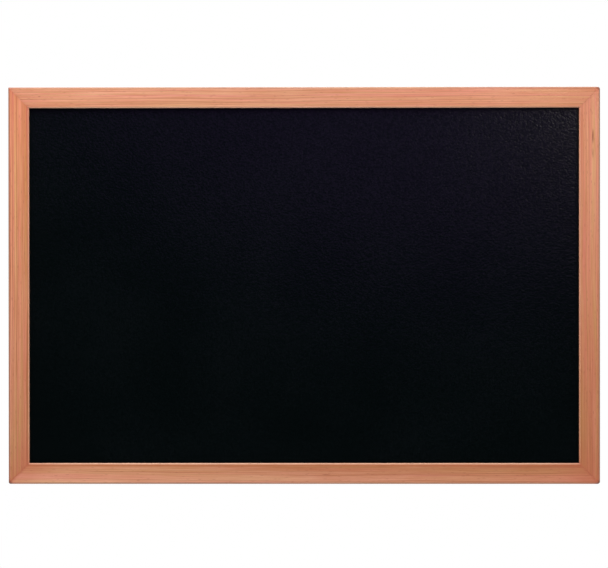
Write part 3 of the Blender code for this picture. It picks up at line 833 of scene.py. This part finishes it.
# Hanger straps, rings and screws
def strapLine():
    # side view of the folded sheet's middle: up the wood side, round the eye and down the wall side
    middle = hanger["wire"] + hanger["eyePlay"] + hanger["sheet"] / 2
    outerLeaf = -middle + hanger["sheet"]
    turnOut = hanger["foldOut"]
    tail = -(hanger["screwDrop"] + hanger["tail"])
    bendX = outerLeaf + turnOut
    bendCentre = Vector((bendX, -math.sqrt((middle + turnOut) ** 2 - bendX ** 2)))
    touch = math.degrees(math.atan2(bendCentre.y, bendCentre.x))
    ends = [tail + hanger["tailCorner"] * (1 - math.cos(angle)) for angle in evenly(0, math.radians(90), 8)]
    line = [(-middle, z) for z in ends] + [(-middle, z * millimetre) for z in (-12, -6, -2)]
    line += arc((0, 0), middle, 180, touch, 40)
    line += arc(bendCentre, turnOut, touch + 180, 180, 10)[1:]
    line += [(outerLeaf, z * millimetre) for z in (-6, -12)] + [(outerLeaf, z) for z in reversed(ends)]
    return [Vector(point) for point in line], tail


def strapMesh(name):
    line, tail = strapLine()
    edge, corner = hanger["edgeRound"], hanger["tailCorner"]
    thick = (hanger["sheet"] - hanger["leafGap"]) / 2 - edge
    rings = []
    for index, here in enumerate(line):
        along = direction(line, index)
        out = Vector((-along.y, along.x))
        fromTail = min(here.y - tail, corner)
        narrower = corner - math.sqrt(max(0.0, corner ** 2 - (corner - fromTail) ** 2))
        half = hanger["strapWidth"] / 2 - narrower - edge
        section = []
        for start, x, t in ((0, half, thick), (90, -half, thick), (180, -half, -thick), (270, half, -thick)):
            section += arc((x, t), edge, start, start + 90, 3)
        rings.append([(x, *(here + out * t)) for x, t in section])
    shape = bmesh.new()
    place = Matrix.Translation((0, strapFace, -hanger["screwDrop"]))
    addPrism(shape, circle(screwHole, 32), -3 * millimetre, 3 * millimetre, place)
    return cutWith(skin(name, rings), meshFrom(shape, "holeCutter"))


def ringMesh(name):
    # round wire bent to a D, its bar on the hinge axis
    bend, half = hanger["ringBend"], hanger["ringHalf"]
    line = arc((half - bend, bend), bend, -90, 0, 8) + arc((0, hanger["ringArm"]), half, 0, 180, 40)
    line = [Vector(point) for point in line + arc((-half + bend, bend), bend, 180, 270, 8)]
    rings = []
    for index, here in enumerate(line):
        atBar = index in (0, len(line) - 1)
        along = Vector((1, 0)) if atBar else direction(line, index)
        out = Vector((along.y, -along.x))
        ring = []
        for outward, y in circle(hanger["wire"], 20):
            spread = here + out * outward
            ring.append((spread.x, y, spread.y))
        rings.append(ring)
    return skin(name, rings, loop=True, sharpAngle=60)


def threadMesh(name):
    columns, levels = 20, (screw["core"], screw["core"], screw["thread"])
    strands = len(levels)
    last = columns * math.floor(screw["length"] / screw["pitch"])
    shape = bmesh.new()
    grid = {}
    for column in range(last + columns + 1):
        angle = math.tau * column / columns
        for strand, radius in enumerate(levels):
            rise = screw["pitch"] * (column / columns + strand / strands)
            reach = screw["tip"] + (radius - screw["tip"]) * min(1.0, rise / screw["point"])
            grid[column, strand] = shape.verts.new(
                (reach * math.cos(angle), reach * math.sin(angle), rise - screw["length"]))

    def vertex(column, strand):
        return grid[column, strand] if strand < strands else grid[column + columns, 0]

    for column in range(last):
        for strand in range(strands):
            shape.faces.new((vertex(column, strand), vertex(column + 1, strand),
                             vertex(column + 1, strand + 1), vertex(column, strand + 1)))
    for column, height in ((0, -screw["length"] - screw["tip"]), (last, screw["pitch"])):
        rim = [vertex(column + step, 0) for step in range(columns + 1)]
        rim += [vertex(column, strand) for strand in range(strands - 1, 0, -1)]
        middle = shape.verts.new((0, 0, height))
        for here, after in zip(rim, rim[1:] + rim[:1]):
            shape.faces.new((here, after, middle))
    bmesh.ops.delete(shape, geom=[v for v in shape.verts if not v.link_faces], context="VERTS")
    return meshFrom(shape, name, 50)


def screwMesh(name):
    top, edge, centre = screw["headHeight"], screw["headEdge"], screw["centreHole"]
    crown = top / 2
    profile = [(centre, 0), (screw["head"] - edge, 0), (screw["head"], edge)]
    profile += arc((screw["head"] - crown, top - crown), crown, 0, 84, 10)
    profile += [(screw["head"] - 1.4 * crown, top), (centre, top)]
    rings = []
    for height, shrink in ((top - screw["recessDepth"], 0.42), (top + screw["recessDepth"], 1.58)):
        arm, slot = screw["recessArm"] * shrink, screw["recessSlot"] / 2 * (0.7 + 0.3 * shrink)
        outline = []
        for a, b in ((1, 0), (0, 1), (-1, 0), (0, -1)):   # an arm of the cross to each side
            for out, side in ((arm, -slot), (arm, slot), (slot, slot)):
                outline.append((a * out - b * side, b * out + a * side, height))
        rings.append(outline)
    return cutWith(cutWith(lathe(name, profile), threadMesh("thread"), "UNION"), skin("recessCutter", rings))


print("hangers")
lean = math.asin((eyeOuter - hanger["wire"]) / (hanger["ringArm"] + hanger["ringHalf"]))
for side, spin in screwShape["spin"].items():
    hinge = hinges[f"{side}_ring"]
    onHinge = Matrix.Translation(hinge)
    onStrap = Matrix.Translation(screwSpot(hinge) + Vector((0, screw["gap"], 0)))
    onStrap @= Matrix.Rotation(math.radians(-90), 4, "X") @ Matrix.Rotation(math.radians(spin), 4, "Z")
    for kind, make, place, body in (
        ("strap", strapMesh, onHinge, "board"),
        ("ring", ringMesh, onHinge @ Matrix.Rotation(lean, 4, "X"), f"{side}_ring"),
        ("screw", screwMesh, onStrap, "board"),
    ):
        name = f"{side}Hanger{kind.capitalize()}"
        addPiece(name, make(name), platedZinc, f"hanger_{kind}_{side}", place, body, kind != "ring")


# Wall bumpers, in mm
bumperShape = {
    "radius": 5.0, "thickness": 4.5, "arris": 1.2, "pad": 0.3, "padRadius": 4.7, "footRound": 0.25,
    "gate": 0.8, "gateSlope": 0.15, "gateDepth": 0.12, "centreHole": 0.02,   # gate: the mould's dimple
}


def bumperMesh(name):
    s = inMetres(bumperShape)
    foot, top, edge = s["pad"], s["pad"] + s["thickness"], s["footRound"]
    dimple = top - s["gateDepth"]
    profile = [(s["centreHole"], 0), (s["padRadius"], 0), (s["padRadius"], foot)]
    profile += arc((s["radius"] - edge, foot + edge), edge, -90, 0, 4)
    profile += arc((s["radius"] - s["arris"], top - s["arris"]), s["arris"], 0, 90, 8)
    profile += [(s["gate"] + s["gateSlope"], top), (s["gate"], dimple), (s["centreHole"], dimple)]
    return lathe(name, profile)


print("bumpers")
for level in ("top", "bottom"):
    for side in ("left", "right"):
        name, node = f"{level}{side.capitalize()}Bumper", f"wall_bumper_{level}_{side}"
        low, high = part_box(node)
        place = Matrix.Translation(((low.x + high.x) / 2, railBackY, (low.z + high.z) / 2))
        place @= Matrix.Rotation(math.radians(-90), 4, "X")
        addPiece(name, bumperMesh(name), rubber, node, place)


# Studio: a pale floor well below the board, one soft lamp in front and above, one behind. Lengths in metres.
studio = {
    "floorDrop": 0.18, "floorHalf": (0.75, 0.45), "floorShade": "#E4E2DE", "floorFade": (0.25, 0.85),
    "ambient": 0.54, "overhead": 0.4,   # the light all round, and how much more of it comes from above
    "lamps": {
        "keyLamp": {"place": (-0.17, -0.62, 0.92), "size": (0.7, 0.5), "power": 11.0, "shade": "#FFFAF4"},
        "backLamp": {"place": (0.35, 1.10, 0.75), "size": (0.9, 0.6), "power": 9.0, "shade": "#FFFFFF"},
    },
    # each glow: its centre, outer and inner radius, shade and strength
    "dimRoom": {"place": (0, -2.6, -0.12), "half": (5.0, 4.0),
                "glows": (((0.4, 0, 1.5), 1.65, 1.25, "#C684FF", 0.60),
                          ((1.1, 0, 0.8), 0.85, 0.25, "#FFFDD9", 0.75),
                          ((1.0, 0, 0.74), 0.30, 0.27, "#FFF6E9", 5.5))},
}


def seenRays(tree):
    # 1 for rays that show the background: the camera's, and those in reflections and through glass
    path = addNode(tree, "LightPath")
    seen = path.outputs["Is Camera Ray"]
    for kind in ("Is Glossy Ray", "Is Transmission Ray"):
        seen = addNode(tree, "Math.MAXIMUM", {}, {0: seen, 1: path.outputs[kind]})
    return seen


def makeWorld():
    world = bpy.data.worlds.new("studioWorld")
    world.use_nodes = True
    tree = world.node_tree
    tree.nodes.clear()
    up = addNode(tree, "SeparateXYZ", {}, {0: addNode(tree, "TexCoord").outputs["Generated"]}).outputs[2]
    soft = addNode(tree, "Math.MULTIPLY_ADD", {1: studio["overhead"], 2: studio["ambient"]}, {0: up})
    strength = addNode(tree, "Mix", {"data_type": "FLOAT", 3: 1.0}, {0: seenRays(tree), 2: soft})
    light = addNode(tree, "Background", {"Color": "#FFFFFF"}, {"Strength": strength})
    addNode(tree, "OutputWorld", {}, {"Surface": light})
    bpy.context.scene.world = world


def makeFloor():
    # a pale oval that fades to the white of the background before its rim
    halfX, halfY = studio["floorHalf"]
    shape = bmesh.new()
    rings = [[shape.verts.new((halfX * x, halfY * y, 0)) for x, y in circle(r, 96)] for r in (0.2, 0.6, 1.0)]
    shape.faces.new(rings[0])
    for first, second in zip(rings, rings[1:]):
        joinRings(shape, first, second)
    mesh = meshFrom(shape, "floor")
    floor = newObject("floor", mesh)
    floor.location = (boardCentre.x, 0, cadLow.z - studio["floorDrop"])
    material, tree, spot = newMaterial("paleFloor", 1.0)
    spot = addNode(tree, "Mapping", {"Scale": (1 / halfX, 1 / halfY, 0)}, {"Vector": spot})
    reach = addNode(tree, "VectorMath.LENGTH", {}, {0: spot}).outputs["Value"]
    fade = addNode(tree, "MapRange", {**smooth, "map": studio["floorFade"]}, {"Value": reach})
    fade = addNode(tree, "Math.MULTIPLY", {}, {0: fade, 1: seenRays(tree)})
    matt = addNode(tree, "BsdfDiffuse", {"Color": studio["floorShade"]})
    white = addNode(tree, "Emission", {"Color": "#FFFFFF", "Strength": 1.0})
    both = addNode(tree, "MixShader", {}, {0: fade, 1: matt, 2: white})
    addNode(tree, "OutputMaterial", {}, {"Surface": both})
    mesh.materials.append(material)


def makeDimRoom():
    # the unlit end of the studio behind the camera, which shows only in reflections; its glows are painted
    # light, patches of emission that put the sheen on the writing face
    look = studio["dimRoom"]
    halfX, halfZ = look["half"]
    shape = bmesh.new()
    corners = ((-halfX, -halfZ), (halfX, -halfZ), (halfX, halfZ), (-halfX, halfZ))
    shape.faces.new([shape.verts.new((x, 0, z)) for x, z in corners])
    mesh = meshFrom(shape, "dimRoom")
    room = newObject("dimRoom", mesh)
    room.location = look["place"]
    for kind in ("camera", "diffuse", "transmission", "volume_scatter", "shadow"):
        setattr(room, f"visible_{kind}", False)
    material, tree, spot = newMaterial("dimRoom", 1.0)
    lights = []
    for centre, outer, inner, shade, strength in look["glows"]:
        reach = addNode(tree, "VectorMath.DISTANCE", {1: centre}, {0: spot}).outputs["Value"]
        glow = {**smooth, "map": (outer, inner, 0, strength)}
        glow = addNode(tree, "MapRange", glow, {"Value": reach})
        lights.append(addNode(tree, "Emission", {"Color": shade}, {"Strength": glow}))
    light = lights[0]
    for more in lights[1:]:
        light = addNode(tree, "AddShader", {}, {0: light, 1: more})
    addNode(tree, "OutputMaterial", {}, {"Surface": light})
    mesh.materials.append(material)


def makeLamps():
    for name, lamp in studio["lamps"].items():
        data = bpy.data.lights.new(name, "AREA")
        data.shape = "RECTANGLE"
        data.size, data.size_y = lamp["size"]
        data.energy = lamp["power"]
        data.color = hexToLinear(lamp["shade"])[:3]
        made = newObject(name, data)
        made.location = lamp["place"]
        made.rotation_euler = (boardCentre - Vector(lamp["place"])).to_track_quat("-Z", "Y").to_euler()
        made.visible_camera = False


print("studio")
makeWorld()
makeFloor()
makeDimRoom()
makeLamps()
bpy.context.scene.view_settings.view_transform = "Standard"

bpy.context.view_layer.update()
print("done")
